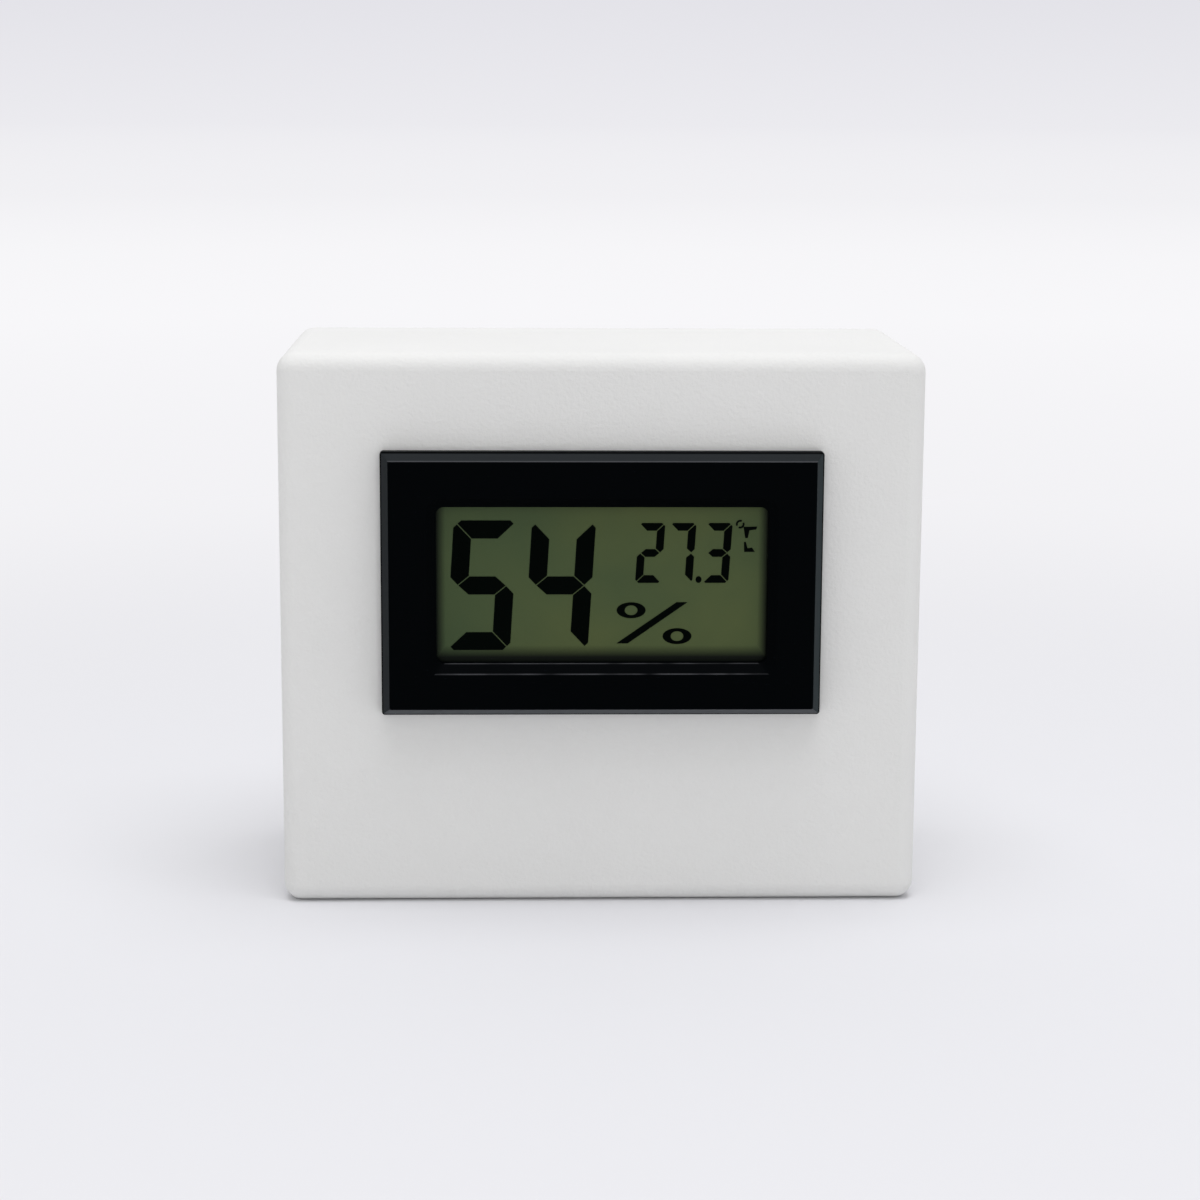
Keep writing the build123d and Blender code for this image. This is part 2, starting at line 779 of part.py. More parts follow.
def sensor_leads():
    """The wire legs that carry the two sensors on the board."""
    plate_base = meter_z + sensor_z - humidity_height / 2 + lead_inset
    wires = []
    for side in (-1, 1):
        x = middle_out(sensor_x + side * lead_spacing / 2, lead_width)
        wires.append(block(x, (board_rear, board_rear + humidity_stand_off), middle_out(plate_base, lead_width)))
        z = middle_out(meter_z + bead_z + side * bead_lead_spacing / 2, lead_width)
        bead_front = board_rear + bead_stand_off - bead_radius
        wires.append(block(middle_out(bead_x, lead_width), (board_rear, bead_front), z))
    return Compound([wire.solid() for wire in wires])


def cell_spring(x):
    """The spring leaf that touches a cell's cap: a foot on the board, a riser and an arm."""
    half = contact_thickness / 2
    riser_z = meter_z + leaf_riser_z
    path = Polyline(
        (board_rear + half, riser_z - leaf_foot_length),
        (board_rear + half, riser_z),
        (well_floor_rear + leaf_root_rise, riser_z),
        (cell_front - contact_gap - half, meter_z + leaf_tip_z),
    )
    plane = Plane(origin=(x, 0, 0), x_dir=(0, 1, 0), z_dir=(1, 0, 0))
    return extrude(plane * trace(path, contact_thickness), amount=leaf_width / 2, both=True)


def side_contact():
    """The forked strip between the wells, which touches both cells' sides."""
    half = contact_thickness / 2
    touch_x = cell_spacing / 2 - cell_radius - contact_gap - half
    base = board_rear + half
    knee = board_rear + side_contact_knee
    touch = board_rear + side_contact_touch
    tip = touch + side_contact_lead_in
    path = Polyline(
        (wells_x - side_contact_foot, tip),
        (wells_x - touch_x, touch),
        (wells_x - side_contact_foot, knee),
        (wells_x - side_contact_foot, base),
        (wells_x + side_contact_foot, base),
        (wells_x + side_contact_foot, knee),
        (wells_x + touch_x, touch),
        (wells_x + side_contact_foot, tip),
    )
    strip = extrude(trace(path, contact_thickness), amount=side_contact_width / 2, both=True)
    return Pos(0, 0, meter_z) * strip


def button_cell(x):
    """A button cell: the can with its bevelled rear rim, and the raised cap inside a groove at the front."""
    groove = cell_cap_radius + cell_groove_width
    shoulder = cell_front + cell_cap_height
    cell = turned(
        [
            (0, cell_front),
            (cell_cap_radius, cell_front),
            (cell_cap_radius, shoulder + cell_groove_depth),
            (groove, shoulder + cell_groove_depth),
            (groove, shoulder),
            (cell_radius, shoulder),
            (cell_radius, cell_rear),
            (0, cell_rear),
        ]
    )
    rim = cell.edges().filter_by(GeomType.CIRCLE).group_by(Axis.Y)[-1]
    return Pos(x, 0, meter_z) * chamfer(rim, cell_edge_bevel)


def sub_parts():
    """Every node's name and shape."""
    parts = {
        "front_housing": front_housing(),
        "rear_cover": rear_cover(),
        "cover_screws": cover_screws(),
        "battery_door": battery_door(),
        "door_latch": door_latch(),
        "bezel_case": bezel_case(),
        "module_rear_case": module_rear_case(),
        "front_polariser": display_layer(
            polariser_width,
            front_glass_base + front_polariser_base_rim,
            polariser_top,
            bezel_face_inner,
            polariser_thickness,
        ),
        "display_front_glass": display_layer(
            glass_width, front_glass_base, glass_top, front_glass_face, glass_thickness
        ),
        "display_rear_glass": display_layer(glass_width, rear_glass_base, glass_top, rear_glass_face, glass_thickness),
        "rear_polariser": display_layer(
            polariser_width,
            rear_glass_base + rear_polariser_base_rim,
            polariser_top,
            rear_polariser_face,
            polariser_thickness,
        ),
        "zebra_strip": zebra_strip(),
        "foam_strip": foam_strip(),
        "circuit_board": circuit_board(),
        "board_screws": board_screws(),
        "chip_coating": chip_coating(),
        "board_components": board_components(),
        "humidity_sensor": humidity_sensor(),
        "thermistor": thermistor(),
        "sensor_leads": sensor_leads(),
        "side_contact": side_contact(),
    }
    for side, x in cell_places.items():
        parts[f"cell_spring_{side}"] = cell_spring(x)
        parts[f"button_cell_{side}"] = button_cell(x)
    return parts


os.makedirs("parts", exist_ok=True)
for name, shape in sub_parts().items():
    export_step(shape, f"parts/{name}.step")
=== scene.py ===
"""Studio scene of a desk thermometer and hygrometer: a white box with a black panel meter.

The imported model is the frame. Each of its nodes keeps its own shape and gets a procedural
material here. The only pieces that this script adds are the dark segments of the display, which
are too thin to be solids of the model. Lengths are in millimetres in the part's frame, and are
turned to metres where they are used. Scales of noise are in turns per metre.
"""

import json
import math

import bmesh
import bpy
from mathutils import Matrix, Vector


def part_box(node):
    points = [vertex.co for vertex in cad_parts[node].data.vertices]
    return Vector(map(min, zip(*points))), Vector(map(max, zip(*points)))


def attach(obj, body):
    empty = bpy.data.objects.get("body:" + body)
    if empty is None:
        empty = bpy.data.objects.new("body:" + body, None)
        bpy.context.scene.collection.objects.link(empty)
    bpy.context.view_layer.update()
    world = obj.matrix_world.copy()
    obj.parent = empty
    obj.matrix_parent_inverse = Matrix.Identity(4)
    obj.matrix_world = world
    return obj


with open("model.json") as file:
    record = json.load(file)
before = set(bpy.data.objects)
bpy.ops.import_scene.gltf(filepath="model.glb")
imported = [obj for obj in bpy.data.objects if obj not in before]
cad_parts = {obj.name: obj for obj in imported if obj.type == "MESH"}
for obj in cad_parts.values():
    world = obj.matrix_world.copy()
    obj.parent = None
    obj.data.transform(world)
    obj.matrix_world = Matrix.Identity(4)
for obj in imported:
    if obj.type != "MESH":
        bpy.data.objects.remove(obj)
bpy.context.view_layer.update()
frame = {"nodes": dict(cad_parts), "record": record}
nodes = frame["nodes"]
mm = 0.001

# Camera at the photograph's viewing angle: angles in degrees, nearest shown distance in metres
camera_place = (-9.45, -310.32, 89.46)
camera_pitch = 10.62
camera_yaw = 1.807
camera_roll = 0.3015
focal_pixels = 2742.0
image_pixels = 1200
sensor_width = 36.0
nearest_shown = 0.01

# Colours of the outside
housing_white = (0.790, 0.790, 0.773)
bezel_face = (0.0004, 0.0009, 0.0013)
# Painted sheen on the bezel's outer bevel: one tone on its top and left sides, a paler one on its
# right side and the palest on its lower side
bevel_sheen = (0.020, 0.023, 0.025)
bevel_sheen_right = (0.028, 0.036, 0.039)
bevel_sheen_below = (0.072, 0.078, 0.084)
# A painted highlight along edges of the bezel's bevels
bezel_highlight = (0.07, 0.072, 0.078)
display_colour = (0.079, 0.101, 0.039)
# The darker of the display's mottled tones, also its painted shade towards the left
display_mottle_and_shade = (0.046, 0.074, 0.036)
# Painted shade on the display along the window's recess
display_recess_shade = (0.004, 0.006, 0.004)
segment_colour = (0.0005, 0.0014, 0.0009)

# Gloss of the outside
housing_gloss = {"roughness": 0.6, "specular": 0.2}
bezel_gloss = {"roughness": 0.4, "specular": 0.014}
display_gloss = {"roughness": 0.35, "specular": 0.06}
segment_gloss = {"roughness": 0.35, "specular": 0.01}

# Metals and glass
contact_colour = (0.74, 0.72, 0.67)
contact_roughness = 0.3
screw_colour = (0.62, 0.62, 0.63)
screw_roughness = 0.32
cell_colour = (0.80, 0.795, 0.78)
cell_roughness = 0.28
glass_colour = (0.80, 0.86, 0.82)
glass_roughness = 0.05
glass_transmission = 0.9
glass_index = 1.5

# Plain finishes: colour, roughness, metallic share, and scale, colour share and depth of the grain
plain_finishes = {
    "reflector_film": ((0.72, 0.73, 0.70), 0.4, 0.6, 900, 0.03, 0.01),
    "zebra_rubber": ((0.16, 0.15, 0.16), 0.85, 0.0, 1200, 0.15, 0.01),
    "foam": ((0.05, 0.05, 0.055), 0.95, 0.0, 1500, 0.3, 0.08),
    "board_laminate": ((0.02, 0.20, 0.09), 0.35, 0.0, 500, 0.10, 0.01),
    "coating_resin": ((0.015, 0.015, 0.017), 0.22, 0.0, 300, 0.1, 0.02),
    "chip_ceramic": ((0.35, 0.30, 0.24), 0.6, 0.0, 900, 0.1, 0.01),
    "sensor_ceramic": ((0.85, 0.85, 0.82), 0.65, 0.0, 700, 0.03, 0.01),
    "rear_case_plastic": ((0.013, 0.014, 0.016), 0.5, 0.0, 700, 0.12, 0.02),
}

# Mottled colours: the scale of the patches, and how much they differ
mottle_range = (0.3, 0.7)
housing_mottle = (45, 0.012)
segment_mottle = (120, 0.2)
brushed_mottle = (300, 0.04)
glass_mottle = (60, 0.02)
display_mottle = {"scale": 70, "detail": 3.0}
display_mottle_range = (0.1, 0.65)
# Patches that break up the painted highlights below the window
sill_highlight_patches = {"scale": 350, "detail": 1.0}
sill_highlight_patch_range = (0.2, 0.55)

# Grain of the surfaces: its noise, and its depth in millimetres
soft_bump = 0.5
housing_grain = {"scale": 2200, "detail": 4.0, "roughness": 0.7}
housing_grain_depth = 0.085
bezel_grain = {"scale": 3200}
bezel_grain_depth = 0.004
plain_grain_ratio = 4
plain_grain_detail = 3.0
brushed_stretch = (200, 6000, 6000)
brushed_depth = 0.003
cell_ring_scale = 4000
cell_ring_shade = 0.78
cell_ring_depth = 0.02
cell_ring_bump = 0.6

# Sizes of the bezel's bevels and window, which the colours, painted highlights and painted shade of
# the bezel and display follow
bezel_bevel_width = 0.9
window_width = 36.0
window_height = 17.2
window_bevel_width = 1.05
window_bevel_depth = 0.8
bezel_bevel_depth = 1.55
# Width and inset of the painted highlights, the share of the highlight on the outer bevel's inner
# edge, and the width of the painted shadow at that bevel's outer edge
highlight_width = 0.10
sill_highlight_inset = 0.9
ridge_highlight_share = 0.7
shadow_rim_width = 0.17
# How much painted shade the display gets towards its left, and the widths of the painted shade
# along its lower and side edges
left_shade_share = 0.5
recess_shade_blur = 1.3
recess_shade_rim = 0.5
side_recess_shade_blur = 1.0

# Light and background
world_light = (0.622, 0.622, 0.620)
near_tone = (0.86, 0.855, 0.88)
far_tone = (0.935, 0.93, 0.95)
horizon_tone = (0.835, 0.83, 0.865)
sky_tone = (0.775, 0.77, 0.815)
floor_colour = (0.773, 0.773, 0.796)

# Floor: its radius and the limits of its fade in metres, and its far tones at shares of the radius
floor_radius = 6.0
floor_sides = 96
floor_fade_start = 0.06
floor_fade_end = 0.30
floor_tones = (
    (0.0, near_tone),
    (0.022, near_tone),
    (0.033, (0.885, 0.88, 0.905)),
    (0.13, far_tone),
    (0.2, (0.925, 0.92, 0.94)),
    (0.33, (0.88, 0.875, 0.90)),
    (1.0, horizon_tone),
)
backdrop_rise = (-0.015, 0.03)

# Lamps: place, aim and size in millimetres, and power in watts
lamp_colour = (0.968, 0.968, 1.0)
overhead_lamp = {"place": (42, -110, 900), "aim": (0, 0, 30), "size": 700, "power": 4.75}
front_lamp = {"place": (120, -560, 60), "aim": (0, 0, 20), "size": 300, "power": 0.22}

# Display segments
digit_height = 14.42
digit_width = 7.05
digit_places = (0, 8.48)
digit_stroke = 2.1
digit_gap = 0.12
small_height = 6.70
small_width = 2.95
small_places = (0, 3.38, 7.31)
small_stroke = 0.95
small_gap = 0.11
slant = 0.061
segment_cut_share = 0.40
segment_tip_share = 0.42
segment_thickness = 0.03
segment_lift = 0.01
large_digits_at = (-17.0, 28.84)
small_digits_at = (3.55, 36.28)
decimal_point = (10.52, 36.70)
decimal_point_radii = (0.32, 0.37)
degree_middle = (14.98, 42.80)
degree_radii = (0.27, 0.47)
degree_arc_starts = (65, 245)
degree_arc_span = 140
letter_upper = (
    (15.35, 42.50), (16.85, 42.54), (16.72, 42.22), (16.00, 42.12), (15.82, 41.28), (15.55, 41.28),
)
letter_lower = (
    (15.42, 40.85), (15.62, 40.85), (15.80, 40.15), (16.30, 40.22), (16.62, 39.75), (15.45, 39.75),
)
percent_bar = ((1.62, 29.62), (2.85, 29.62), (9.35, 34.19), (8.15, 34.19))
percent_rings = ((3.20, 33.30), (8.24, 30.42))
percent_outer_radii = (1.58, 0.88)
percent_inner_radii = (0.70, 0.55)

# Dark segments of each digit: a is the top one, b to f go on clockwise, and g is the middle one
lit_segments = {"2": "abged", "3": "abgcd", "4": "fgbc", "5": "afgcd", "7": "abc"}


def display_front():
    """The depth of the display's face, in millimetres."""
    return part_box("front_polariser")[0].y / mm


def slanted(points, at):
    """Points of a digit's cell, leaned to the right and put in their place."""
    return [(at[0] + x + slant * z, at[1] + z) for x, z in points]


def segment_outlines(width, height, stroke, gap):
    """The outlines of seven segments in an upright cell, each drawn in by half of the gap."""
    half = height / 2
    cut = segment_cut_share * stroke
    tip = segment_tip_share * stroke
    wide = width - stroke
    left_upper = [
        (0, half + tip),
        (tip, half),
        (stroke, half + stroke / 2),
        (stroke, height - stroke),
        (cut / 2, height - cut / 2),
        (0, height - cut),
    ]
    top = [
        (cut, height),
        (cut / 2, height - cut / 2),
        (stroke, height - stroke),
        (wide, height - stroke),
        (width - cut / 2, height - cut / 2),
        (width - cut, height),
    ]
    middle = [
        (tip, half),
        (stroke, half - stroke / 2),
        (wide, half - stroke / 2),
        (width - tip, half),
        (wide, half + stroke / 2),
        (stroke, half + stroke / 2),
    ]
    right_upper = [(width - x, z) for x, z in left_upper]
    outlines = {
        "f": left_upper,
        "b": right_upper,
        "e": [(x, height - z) for x, z in left_upper],
        "c": [(x, height - z) for x, z in right_upper],
        "a": top,
        "d": [(x, height - z) for x, z in top],
        "g": middle,
    }
    return {name: drawn_in(points, gap / 2) for name, points in outlines.items()}


def drawn_in(points, distance):
    """A convex outline whose edges are all moved inwards by a distance."""
    area = sum(a[0] * b[1] - b[0] * a[1] for a, b in zip(points, points[1:] + points[:1]))
    ring = points if area > 0 else points[::-1]
    lines = []
    for (ax, az), (bx, bz) in zip(ring, ring[1:] + ring[:1]):
        length = math.hypot(bx - ax, bz - az)
        nx, nz = -(bz - az) / length, (bx - ax) / length
        lines.append((nx, nz, nx * ax + nz * az + distance))
    moved = []
    for (a1, b1, c1), (a2, b2, c2) in zip(lines[-1:] + lines[:-1], lines):
        turn = a1 * b2 - a2 * b1
        moved.append(((c1 * b2 - c2 * b1) / turn, (a1 * c2 - a2 * c1) / turn))
    return moved


def around(middle, radius_x, radius_z, turns):
    """Points round a middle at given angles in radians."""
    return [(middle[0] + radius_x * math.cos(t), middle[1] + radius_z * math.sin(t)) for t in turns]


def ellipse(middle, radii, steps=40):
    """The outline of an ellipse."""
    return around(middle, *radii, [2 * math.pi * step / steps for step in range(steps)])


def arc_band(middle, radii, start, span, steps=12):
    """The outline of a part of a ring that starts at an angle and spans another, in degrees."""
    inner, outer = radii
    turns = [math.radians(start + span * step / steps) for step in range(steps + 1)]
    return around(middle, outer, outer, turns) + around(middle, inner, inner, turns[::-1])


def add_plate(mesh, outline, hole=None):
    """A thin plate in front of the display's face, with or without a hole of as many points."""
    rear = (display_front() - segment_lift) * mm
    front = rear - segment_thickness * mm
    rings = []
    for points in (outline, hole) if hole else (outline,):
        for y in (front, rear):
            rings.append([mesh.verts.new((x * mm, y, z * mm)) for x, z in points])
    count = len(outline)
    for index in range(count):
        after = (index + 1) % count
        mesh.faces.new((rings[0][index], rings[0][after], rings[1][after], rings[1][index]))
        if hole:
            mesh.faces.new((rings[2][after], rings[2][index], rings[3][index], rings[3][after]))
            mesh.faces.new((rings[0][after], rings[0][index], rings[2][index], rings[2][after]))
            mesh.faces.new((rings[1][index], rings[1][after], rings[3][after], rings[3][index]))
    if not hole:
        mesh.faces.new(rings[0][::-1])
        mesh.faces.new(rings[1])


def plates(name, outlines, material):
    """One piece made of several thin plates, given as (outline, hole) pairs."""
    mesh = bmesh.new()
    for outline, hole in outlines:
        add_plate(mesh, outline, hole)
    bmesh.ops.recalc_face_normals(mesh, faces=mesh.faces)
    data = bpy.data.meshes.new(name)
    mesh.to_mesh(data)
    mesh.free()
    piece = bpy.data.objects.new(name, data)
    bpy.context.scene.collection.objects.link(piece)
    data.materials.append(material)
    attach(piece, "housing")
    return piece


def digits(text, at, places, cell):
    """The plates of a row of digits, each at its own distance from the first."""
    outlines = []
    for place, digit in zip(places, text):
        corner = (at[0] + place, at[1])
        outlines += [(slanted(cell[name], corner), None) for name in lit_segments[digit]]
    return outlines


def humidity_digits(material):
    """The large digits of the humidity reading."""
    cell = segment_outlines(digit_width, digit_height, digit_stroke, digit_gap)
    return plates("humidity_digits", digits("54", large_digits_at, digit_places, cell), material)


def temperature_digits(material):
    """The small digits of the temperature reading, with their decimal point."""
    cell = segment_outlines(small_width, small_height, small_stroke, small_gap)
    point = (ellipse(decimal_point, decimal_point_radii), None)
    outlines = [*digits("273", small_digits_at, small_places, cell), point]
    return plates("temperature_digits", outlines, material)


def degree_sign(material):
    """The degree sign and the letter C beside the temperature, in short strokes."""
    arcs = [arc_band(degree_middle, degree_radii, at, degree_arc_span) for at in degree_arc_starts]
    outlines = [(outline, None) for outline in (*arcs, letter_upper, letter_lower)]
    return plates("degree_sign", outlines, material)


def percent_sign(material):
    """The percent sign: two rings and a slanted bar."""
    rings = [
        (ellipse(middle, percent_outer_radii), ellipse(middle, percent_inner_radii))
        for middle in percent_rings
    ]
    return plates("percent_sign", [(percent_bar, None), *rings], material)


def new_material(name, colour, roughness, metallic=0.0, specular=0.5):
    """A material with its main shader set, and the tools to add to it."""
    material = bpy.data.materials.new(name)
    material.use_nodes = True
    shader = material.node_tree.nodes["Principled BSDF"]
    shader.inputs["Base Color"].default_value = (*colour, 1)
    shader.inputs["Roughness"].default_value = roughness
    shader.inputs["Metallic"].default_value = metallic
    shader.inputs["Specular IOR Level"].default_value = specular
    return material, material.node_tree, shader


def noise(tree, scale, detail=2.0, roughness=0.5):
    """A noise texture on the surface's own position."""
    place = tree.nodes.new("ShaderNodeTexCoord")
    texture = tree.nodes.new("ShaderNodeTexNoise")
    texture.inputs["Scale"].default_value = scale
    texture.inputs["Detail"].default_value = detail
    texture.inputs["Roughness"].default_value = roughness
    tree.links.new(place.outputs["Object"], texture.inputs["Vector"])
    return texture.outputs["Fac"]


def ramp(tree, factor, stops):
    """Colours at given values of a factor."""
    node = tree.nodes.new("ShaderNodeValToRGB")
    node.color_ramp.elements[0].position = stops[0][0]
    node.color_ramp.elements[0].color = (*stops[0][1], 1)
    node.color_ramp.elements[1].position = stops[1][0]
    node.color_ramp.elements[1].color = (*stops[1][1], 1)
    for position, colour in stops[2:]:
        node.color_ramp.elements.new(position).color = (*colour, 1)
    tree.links.new(factor, node.inputs["Fac"])
    return node.outputs["Color"]


def coordinate(tree, axis):
    """One coordinate of the surface's own position, in metres."""
    place = tree.nodes.new("ShaderNodeTexCoord")
    split = tree.nodes.new("ShaderNodeSeparateXYZ")
    tree.links.new(place.outputs["Object"], split.inputs["Vector"])
    return split.outputs[axis]


def calculated(tree, operation, first, second=0):
    """A sum, product or other operation on values that are sockets or numbers."""
    node = tree.nodes.new("ShaderNodeMath")
    node.operation = operation
    for socket, value in zip(node.inputs, (first, second)):
        if isinstance(value, (int, float)):
            socket.default_value = value
        else:
            tree.links.new(value, socket)
    return node.outputs["Value"]


def remapped(tree, value, low, high):
    """A value stretched so that low becomes 0 and high becomes 1."""
    node = tree.nodes.new("ShaderNodeMapRange")
    node.inputs["From Min"].default_value = low
    node.inputs["From Max"].default_value = high
    tree.links.new(value, node.inputs["Value"])
    return node.outputs["Result"]


def product(tree, first, second):
    """Two values multiplied."""
    return calculated(tree, "MULTIPLY", first, second)


def between(tree, value, low, high):
    """1 where a value lies between two limits, and 0 elsewhere."""
    above = calculated(tree, "GREATER_THAN", value, low)
    below = calculated(tree, "LESS_THAN", value, high)
    return product(tree, above, below)


def past(tree, axis, middle, half):
    """How far a point lies past either side of a span along an axis, negative between its sides."""
    offset = calculated(tree, "SUBTRACT", coordinate(tree, axis), middle)
    return calculated(tree, "SUBTRACT", calculated(tree, "ABSOLUTE", offset), half)


def mixed(tree, factor, first, second):
    """A colour from a socket, mixed by a factor with another from a socket or a fixed one."""
    node = tree.nodes.new("ShaderNodeMix")
    node.data_type = "RGBA"
    colours = [socket for socket in node.inputs if socket.type == "RGBA"]
    tree.links.new(factor, node.inputs["Factor"])
    tree.links.new(first, colours[0])
    if isinstance(second, tuple):
        colours[1].default_value = (*second, 1)
    else:
        tree.links.new(second, colours[1])
    return [socket for socket in node.outputs if socket.type == "RGBA"][0]


def mottled(tree, shader, colour, scale, amount):
    """A base colour that varies a little over the surface."""
    darker = tuple(c * (1 - amount) for c in colour)
    lighter = tuple(min(1, c * (1 + amount)) for c in colour)
    tones = ramp(tree, noise(tree, scale), list(zip(mottle_range, (darker, lighter))))
    tree.links.new(tones, shader.inputs["Base Color"])


def bumped(tree, shader, height, distance, strength=1.0):
    """A bump from a height, with its depth in millimetres."""
    bump = tree.nodes.new("ShaderNodeBump")
    bump.inputs["Strength"].default_value = strength
    bump.inputs["Distance"].default_value = distance * mm
    tree.links.new(height, bump.inputs["Height"])
    tree.links.new(bump.outputs["Normal"], shader.inputs["Normal"])


def housing_plastic():
    """White plastic with a fine moulded grain."""
    material, tree, shader = new_material("housing_plastic", housing_white, **housing_gloss)
    mottled(tree, shader, housing_white, *housing_mottle)
    bumped(tree, shader, noise(tree, **housing_grain), housing_grain_depth)
    return material


def sill_highlights(tree, middle, front):
    """Where the two edges of the bevel below the window catch the light."""
    sill = middle.z - window_height / 2 * mm
    down = calculated(tree, "SUBTRACT", sill, coordinate(tree, "Z"))
    apart = calculated(tree, "PINGPONG", down, window_bevel_width / 2 * mm)
    line = highlight_width * mm
    near = remapped(tree, apart, line, 0)
    within = between(tree, down, -line, window_bevel_width * mm + line)
    beside = past(tree, "X", middle.x, window_width / 2 * mm)
    inset = calculated(tree, "ADD", beside, sill_highlight_inset * mm)
    mitred = calculated(tree, "LESS_THAN", inset, down)
    bevel_rear = front + window_bevel_depth * mm + line
    shallow = calculated(tree, "LESS_THAN", coordinate(tree, "Y"), bevel_rear)
    broken = remapped(tree, noise(tree, **sill_highlight_patches), *sill_highlight_patch_range)
    lit = product(tree, product(tree, near, within), product(tree, mitred, broken))
    return product(tree, lit, shallow)


def bevel_sheen_sides(tree, beside, above, middle):
    """The painted sheen of the outer bevel's four sides, and where it is one of the upright sides.
    """
    sideways = calculated(tree, "GREATER_THAN", beside, above)
    rightward = calculated(tree, "GREATER_THAN", coordinate(tree, "X"), middle.x)
    upward = calculated(tree, "GREATER_THAN", coordinate(tree, "Z"), middle.z)
    # Painted sheen: palest on the lower side, and paler on the right than on the top and left
    level = ramp(tree, upward, [(0.0, bevel_sheen_below), (1.0, bevel_sheen)])
    side = ramp(tree, rightward, [(0.0, bevel_sheen), (1.0, bevel_sheen_right)])
    return mixed(tree, sideways, level, side), sideways


def bezel_colours(tree, low, high):
    """The bezel's black face and the painted sheen of its outer bevel, with a painted highlight
    along that bevel's inner edge above and below, and a painted shadow along its outer edge.
    """
    middle = (low + high) / 2
    beside = past(tree, "X", middle.x, (high.x - low.x) / 2 - bezel_bevel_width * mm)
    above = past(tree, "Z", middle.z, (high.z - low.z) / 2 - bezel_bevel_width * mm)
    outside = calculated(tree, "MAXIMUM", beside, above)
    # The outer bevel's painted sheen, side by side
    bevel, sideways = bevel_sheen_sides(tree, beside, above, middle)
    # A painted highlight along the outer bevel's inner edge, on its top and lower sides
    ridge = product(tree, between(tree, outside, 0, highlight_width * mm), ridge_highlight_share)
    level_ridge_highlight = product(tree, ridge, calculated(tree, "SUBTRACT", 1, sideways))
    ridge_highlighted = mixed(tree, level_ridge_highlight, bevel, bezel_highlight)
    # A painted shadow line along the outer bevel's outer edge, in the face's black, for the gap
    # around the bezel
    shadow_rim_start = (bezel_bevel_width - shadow_rim_width) * mm
    shadow_rimmed = mixed(tree, calculated(tree, "GREATER_THAN", outside, shadow_rim_start), ridge_highlighted, bezel_face)
    bevel_rear = low.y + bezel_bevel_depth * mm
    behind = calculated(tree, "GREATER_THAN", coordinate(tree, "Y"), bevel_rear)
    elsewhere = calculated(tree, "MAXIMUM", calculated(tree, "LESS_THAN", outside, 0), behind)
    return mixed(tree, elsewhere, shadow_rimmed, bezel_face)


def bezel_plastic():
    """Black plastic, nearly matt, with a painted sheen on its outer bevel, and painted highlights
    along its bevels' edges, in fine lines below the window.
    """
    material, tree, shader = new_material("bezel_plastic", bezel_face, **bezel_gloss)
    low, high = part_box("bezel_case")
    colours = bezel_colours(tree, low, high)
    # Painted highlights on the edges of the bevel below the window
    sill_highlighted = mixed(tree, sill_highlights(tree, (low + high) / 2, low.y), colours, bezel_highlight)
    tree.links.new(sill_highlighted, shader.inputs["Base Color"])
    bumped(tree, shader, noise(tree, **bezel_grain), bezel_grain_depth, soft_bump)
    return material


def display_film():
    """The display's olive face: mottled, with painted shade towards the left, and darkest in
    painted shade along its lower and side edges, next to the window's recess.
    """
    material, tree, shader = new_material("display_film", display_colour, **display_gloss)
    low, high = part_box("bezel_case")
    middle = (low + high) / 2
    stops = list(zip(display_mottle_range, (display_mottle_and_shade, display_colour)))
    tone = ramp(tree, noise(tree, **display_mottle), stops)
    # Painted shade towards the display's left
    across = remapped(tree, coordinate(tree, "X"), 0, -window_width / 2 * mm)
    left_shaded = mixed(tree, product(tree, across, left_shade_share), tone, display_mottle_and_shade)
    # Painted shade along the display's lower and side edges, where the window's recess meets it
    dark_until = middle.z + (recess_shade_rim - window_height / 2) * mm
    low_recess_shade = remapped(tree, coordinate(tree, "Z"), dark_until + recess_shade_blur * mm, dark_until)
    aside = past(tree, "X", middle.x, window_width / 2 * mm)
    side_recess_shade = remapped(tree, aside, -side_recess_shade_blur * mm, 0)
    edge = calculated(tree, "MAXIMUM", low_recess_shade, side_recess_shade)
    tree.links.new(mixed(tree, edge, left_shaded, display_recess_shade), shader.inputs["Base Color"])
    return material


def segment_film():
    """The dark of the display's segments."""
    material, tree, shader = new_material("display_segment", segment_colour, **segment_gloss)
    mottled(tree, shader, segment_colour, *segment_mottle)
    return material


def plain_finish(name, colour, roughness, metallic, scale, amount, depth):
    """A finish with a little variation in its colour and height."""
    material, tree, shader = new_material(name, colour, roughness, metallic)
    mottled(tree, shader, colour, scale, amount)
    grain = noise(tree, scale * plain_grain_ratio, plain_grain_detail)
    bumped(tree, shader, grain, depth, soft_bump)
    return material


def brushed_metal(name, colour, roughness):
    """Plated metal with fine drawn lines."""
    material, tree, shader = new_material(name, colour, roughness, metallic=1.0)
    place = tree.nodes.new("ShaderNodeTexCoord")
    stretch = tree.nodes.new("ShaderNodeMapping")
    stretch.inputs["Scale"].default_value = brushed_stretch
    texture = tree.nodes.new("ShaderNodeTexNoise")
    texture.inputs["Scale"].default_value = 1.0
    tree.links.new(place.outputs["Object"], stretch.inputs["Vector"])
    tree.links.new(stretch.outputs["Vector"], texture.inputs["Vector"])
    bumped(tree, shader, texture.outputs["Fac"], brushed_depth, soft_bump)
    mottled(tree, shader, colour, *brushed_mottle)
    return material


